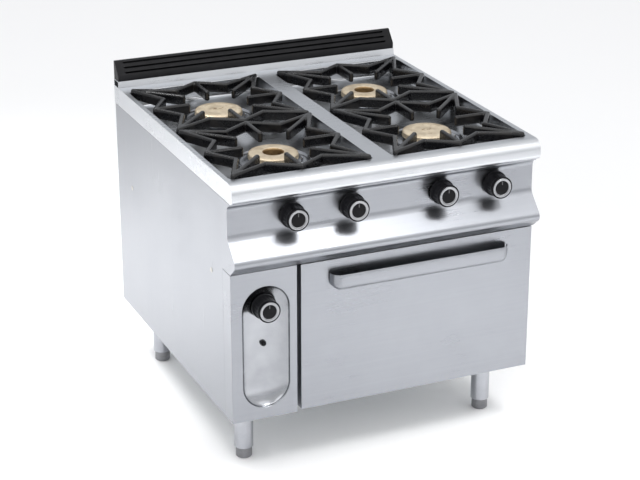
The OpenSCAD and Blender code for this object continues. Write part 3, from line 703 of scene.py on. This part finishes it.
def makeHandle():
    # a scoop of folded sheet that opens upwards, its ends drawn in to the door
    low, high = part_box("door_handle")
    reach = (high.y - low.y) / mm
    tall = (high.z - low.z) / mm
    corner, sheet = handleLook["corner"], handleLook["sheet"]
    bend = handleLook["cornerSteps"]
    outer = [(0.0, 0.0)]
    outer += [(reach - corner - x, corner + z) for x, z in arcPoints((0, 0), corner, 270, 180, bend)]
    outer += [(reach - 0.2, tall * 0.75), (reach - 0.7, tall - 1.0), (reach - 1.6, tall)]
    inner = [(reach - 1.0 - sheet, tall - 0.5), (reach - sheet, tall * 0.75)]
    inner += [(reach - corner - x, corner + z) for x, z in arcPoints((0, 0), corner - sheet, 180, 270, bend)]
    inner += [(0.0, sheet)]
    outline = outer + inner
    spots = []
    for i in range(handleLook["endSteps"] + 1):
        angle = math.pi / 2 * i / handleLook["endSteps"]
        spots.append((handleLook["endRound"] * (1 - math.cos(angle)), math.sin(angle)))
    length = (high.x - low.x) / mm
    stations = spots + [(length - d, s) for d, s in reversed(spots)]
    loops = []
    for along, share in stations:
        share = max(share, handleLook["endShare"])
        loops.append([(low.x + along * mm, high.y - out * share * mm,
                       high.z - (tall - up) * (0.45 + 0.55 * share) * mm) for out, up in outline])
    form = bmesh.new()
    skin(form, loops)
    addPiece("handle_scoop", form, steelFrontShaded, "door_handle", crease=50)


makeHandle()
softEdged("door_outer_skin", steelFrontShaded, 1.6, 3)
softEdged("door_inner_skin", enamel, 0.9, 2)
softEdged("door_gasket", rope, 2.0, 3)
softEdged("door_hinges", painted["zincSteel"], 0.7)
softEdged("hinge_brackets", painted["zincSteel"], 0.7)
repaint("door_insulation", painted["mineralWool"])
print("door is hung")

softEdged("oven_liner", enamel, 0.9, 2)
softEdged("oven_floor_plate", enamel, 0.8, 2)
softEdged("oven_flue", galvanised, 0.5)
softEdged("oven_burner", painted["zincSteel"], 0.6)
softEdged("gas_manifold", painted["zincSteel"], 0.6)
softEdged("gas_taps", painted["turnedBrass"], 0.8)
softEdged("supply_pipes", painted["turnedBrass"], 0.3)
softEdged("oven_thermostat", painted["castAluminium"], 1.5, 3)
repaint("oven_insulation", painted["mineralWool"])
repaint("rack_guides", chrome)
repaint("oven_rack", chrome)
for spindle in ["tap_spindle_1", "tap_spindle_2", "tap_spindle_3", "tap_spindle_4", "oven_spindle"]:
    repaint(spindle, painted["zincSteel"])

inletLook = {
    "bore": 7.5, "root": 9.2, "crest": 10.48, "pitch": 1.8, "threadFrom": 1.2, "threadTo": 25.0,
    "hexAcross": 15.0,
}


def makeInlet():
    # a threaded tail behind a hexagon
    low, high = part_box("gas_inlet")
    centre = ((low.x + high.x) / 2, high.y, (low.z + high.z) / 2)
    bore, root, crest = inletLook["bore"], inletLook["root"], inletLook["crest"]
    start = inletLook["threadFrom"]
    profile = [(bore, 0.6), (bore + 0.6, 0.0), (root, 0.0)]
    while start < inletLook["threadTo"]:
        profile += [(root, start), (crest - 0.1, start + 0.6), (crest, start + 0.9), (root, start + 1.5)]
        start += inletLook["pitch"]
    length = (high.y - low.y) / mm
    profile += [(crest, 27.0), (crest, length - 0.5), (crest - 0.6, length), (bore, length)]
    form = bmesh.new()
    turn(form, profile, centre, "front", 48, closed=True)
    hexFace = []
    for size, back in ((0.9, 26.0), (1.0, 26.9), (1.0, 33.4), (0.94, 34.0)):
        corners = arcPoints((0, 0), inletLook["hexAcross"] * size, 0, 300, 5)
        hexFace.append([(centre[0] + x * mm, high.y - back * mm, centre[2] + z * mm) for x, z in corners])
    skin(form, hexFace)
    addPiece("inlet_tail", form, painted["turnedBrass"], "gas_inlet", crease=30)


makeInlet()
print("oven and gas line are finished")

# a dish's section, as radius and height
dishLook = {
    "section": [(58.0, 0.3), (58.0, 2.3), (62.0, 2.9), (68.0, 2.5), (76.0, 1.9), (84.0, 1.9), (88.0, 3.0),
                (91.0, 5.2), (93.0, 7.8), (94.0, 9.0), (94.8, 8.6), (95.0, 7.8), (94.0, 5.8), (91.0, 2.4),
                (88.0, 0.6), (84.0, 0.1)],
}


def burnerCentre(corner):
    low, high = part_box("crown_" + corner)
    return Vector(((low.x + high.x) / 2, (low.y + high.y) / 2, 0))


def makeDishes():
    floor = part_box("burner_dishes")[0].z
    form = bmesh.new()
    for corner in cornerNames:
        turn(form, dishLook["section"], burnerCentre(corner) + Vector((0, 0, floor)), "up", 96, closed=True)
    addPiece("drip_dishes", form, polished, "burner_dishes")


crownLook = {
    "ports": 36, "portDepth": 2.6, "skirt": 8.0, "throat": 27.6,
    "side": [(29.0, -8.0), (29.0, -0.2), (58.0, 0.0), (62.0, 0.6), (64.4, 2.2), (65.0, 4.4), (65.0, 6.6),
             (64.9, 9.4), (64.8, 12.4), (64.0, 14.6), (62.0, 16.4), (59.0, 17.6), (55.0, 18.5), (50.0, 19.0)],
    "ringTop": [(34.0, 19.0), (31.0, 18.6), (28.0, 17.4), (26.2, 15.0), (26.0, 12.0), (26.0, -8.0)],
    "capTop": [(40.0, 19.0), (38.4, 18.4), (36.4, 17.8), (22.0, 17.6), (19.0, 18.2), (17.0, 18.6),
               (1.5, 18.8)],
    # scorched marks on a cap: place, length, and lean in degrees
    "marks": [(-9.0, 2.5, 12.0, 25.0), (4.0, -2.0, 9.0, -20.0), (12.5, 4.5, 5.0, 70.0)], "markHalf": 1.9,
}


def makeCrown(corner):
    node = "crown_" + corner
    base = burnerCentre(corner) + Vector((0, 0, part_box(node)[0].z + crownLook["skirt"] * mm))
    around = crownLook["ports"] * 4
    ring = corner in ("front_left", "rear_right")

    def port(step, i):
        return crownLook["portDepth"] if 6 <= step <= 8 and i % 4 in (0, 1) else 0.0

    form = bmesh.new()
    if ring:
        turn(form, crownLook["side"] + crownLook["ringTop"], base, "up", around, closed=True, bite=port)
    else:
        profile = [(1.5, -8.0)] + crownLook["side"] + crownLook["capTop"]
        turn(form, profile, base, "up", around, bite=lambda step, i: port(step - 1, i))
        for x, y, length, lean in crownLook["marks"]:
            across = Vector((math.cos(math.radians(lean)), math.sin(math.radians(lean)), 0))
            aside = Vector((-across.y, across.x, 0))
            spot = base + Vector((x, y, 0)) * mm
            plan = [(-1, -0.6), (-0.8, -1), (0.8, -1), (1, -0.6), (1, 0.6), (0.8, 1), (-0.8, 1), (-1, 0.6)]
            loops = []
            for rise, size in ((17.0, 1.0), (18.95, 1.0), (19.0, 0.7)):
                reach, half = across * length / 2 * size, aside * crownLook["markHalf"] * size
                loops.append([spot + (reach * sx + half * sy + Vector((0, 0, rise))) * mm for sx, sy in plan])
            skin(form, loops, finish=1)
    # faces inside the throat, and under a cap, take the dark brass: painted shade inside the ring's hole and
    # under the cap
    for face in form.faces:
        middle = face.calc_center_median() - base
        if math.hypot(middle.x, middle.y) < crownLook["throat"] * mm and (ring or middle.z < 0):
            face.material_index = 1
    addPiece(node + "_turned", form, [crownBrass, scorchAndShadeBrass], node, crease=48)


makeDishes()
for corner in cornerNames:
    makeCrown(corner)
# the burner bodies' near black is painted shade under and inside the crowns
softEdged("burner_bodies", painted["shadedCasting"], 0.8)
softEdged("pilot_burners", painted["ceramicWhite"], 1.0, 3)
softEdged("thermocouples", chrome, 0.8, 3)
print("burners are assembled")

grateLook = {
    "bar": 13.0, "height": 28.0, "boss": 7.1, "scallopIn": 57.0, "scallopAt": 76.0, "fingerTip": 89.1,
    "cornerFinger": 107.1, "footRadius": 5.6, "grain": 1.9, "easing": 5,
}


def grateBar(form, start, end, top):
    # one bar with an eased upper side, from start to end in plan
    way = (end - start).normalized()
    aside = Vector((-way.y, way.x, 0))
    half, tall = grateLook["bar"] / 2, grateLook["height"]
    section = [(-half + 1.2, -tall), (half - 1.2, -tall), (half, -tall + 3), (half, -4), (half - 1.8, -1.2),
               (half - 4, 0), (-half + 4, 0), (-half + 1.8, -1.2), (-half, -4), (-half, -tall + 3)]
    loops = []
    for spot in (start, end):
        loops.append([spot * mm + (aside * x) * mm + Vector((0, 0, top + z * mm)) for x, z in section])
    skin(form, loops)
    boss = grateLook["boss"]
    profile = [(1.0, -tall), (boss - 1.5, -tall), (boss, -tall + 2), (boss, -4), (boss - 2, -1),
               (boss - 4, 0), (1.0, 0)]
    for spot in (start, end):
        turn(form, profile, spot * mm + Vector((0, 0, top)), "up", 20)


def makeGrateShape():
    # bars are laid one over another, then melted into one casting
    low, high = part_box("grate_front_left")
    reach = (high - low) / 2 / mm
    top = high.z
    tipX, tipY = reach.x - grateLook["boss"], reach.y - grateLook["boss"]
    inset, at = grateLook["scallopIn"], grateLook["scallopAt"]
    form = bmesh.new()

    def bar(x0, y0, x1, y1):
        grateBar(form, Vector((x0, y0, 0)), Vector((x1, y1, 0)), top)

    toe, ankle, sole = grateLook["footRadius"], top / mm - 14, low.z / mm
    foot = [(1.0, sole), (toe - 1, sole), (toe, sole + 1.5), (toe + 0.6, ankle), (1.0, ankle + 2)]
    for sx in (-1, 1):
        for sy in (-1, 1):
            cornerAt = (sx * tipX, sy * tipY)
            share = grateLook["cornerFinger"] / math.hypot(*cornerAt)
            bar(sx * tipX, 0, sx * (reach.x - inset), sy * at)
            bar(sx * (reach.x - inset), sy * at, *cornerAt)
            bar(*cornerAt, sx * at, sy * (reach.y - inset))
            bar(sx * at, sy * (reach.y - inset), 0, sy * tipY)
            bar(*cornerAt, cornerAt[0] * share, cornerAt[1] * share)
            turn(form, foot, (cornerAt[0] * mm, cornerAt[1] * mm, 0), "up", 20)
    for side in (-1, 1):
        bar(side * tipX, 0, side * grateLook["fingerTip"], 0)
        bar(0, side * tipY, 0, side * grateLook["fingerTip"])
    mesh = bpy.data.meshes.new("grateBars")
    bmesh.ops.recalc_face_normals(form, faces=form.faces[:])
    form.to_mesh(mesh)
    form.free()
    bars = bpy.data.objects.new("grateBars", mesh)
    bpy.context.scene.collection.objects.link(bars)
    melt = bars.modifiers.new("melt", "REMESH")
    melt.mode = "VOXEL"
    melt.voxel_size = grateLook["grain"] * mm
    ease = bars.modifiers.new("ease", "SMOOTH")
    ease.factor = 0.5
    ease.iterations = grateLook["easing"]
    cast = bpy.data.meshes.new_from_object(bars.evaluated_get(bpy.context.evaluated_depsgraph_get()))
    bpy.data.objects.remove(bars)
    return cast


castGrate = makeGrateShape()
for corner in cornerNames:
    node = "grate_" + corner
    low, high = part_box(node)
    form = bmesh.new()
    form.from_mesh(castGrate)
    centre = Vector(((low.x + high.x) / 2, (low.y + high.y) / 2, 0))
    bmesh.ops.translate(form, vec=centre, verts=form.verts[:])
    addPiece(node + "_casting", form, ironEnamel, node, crease=80)
print("pan supports are cast,", len(castGrate.polygons), "faces each")

softEdged("legs", chrome, 1.0, 3)
for corner in cornerNames:
    softEdged("foot_" + corner, painted["footPlastic"], 1.0, 3)
print("legs and feet are on")
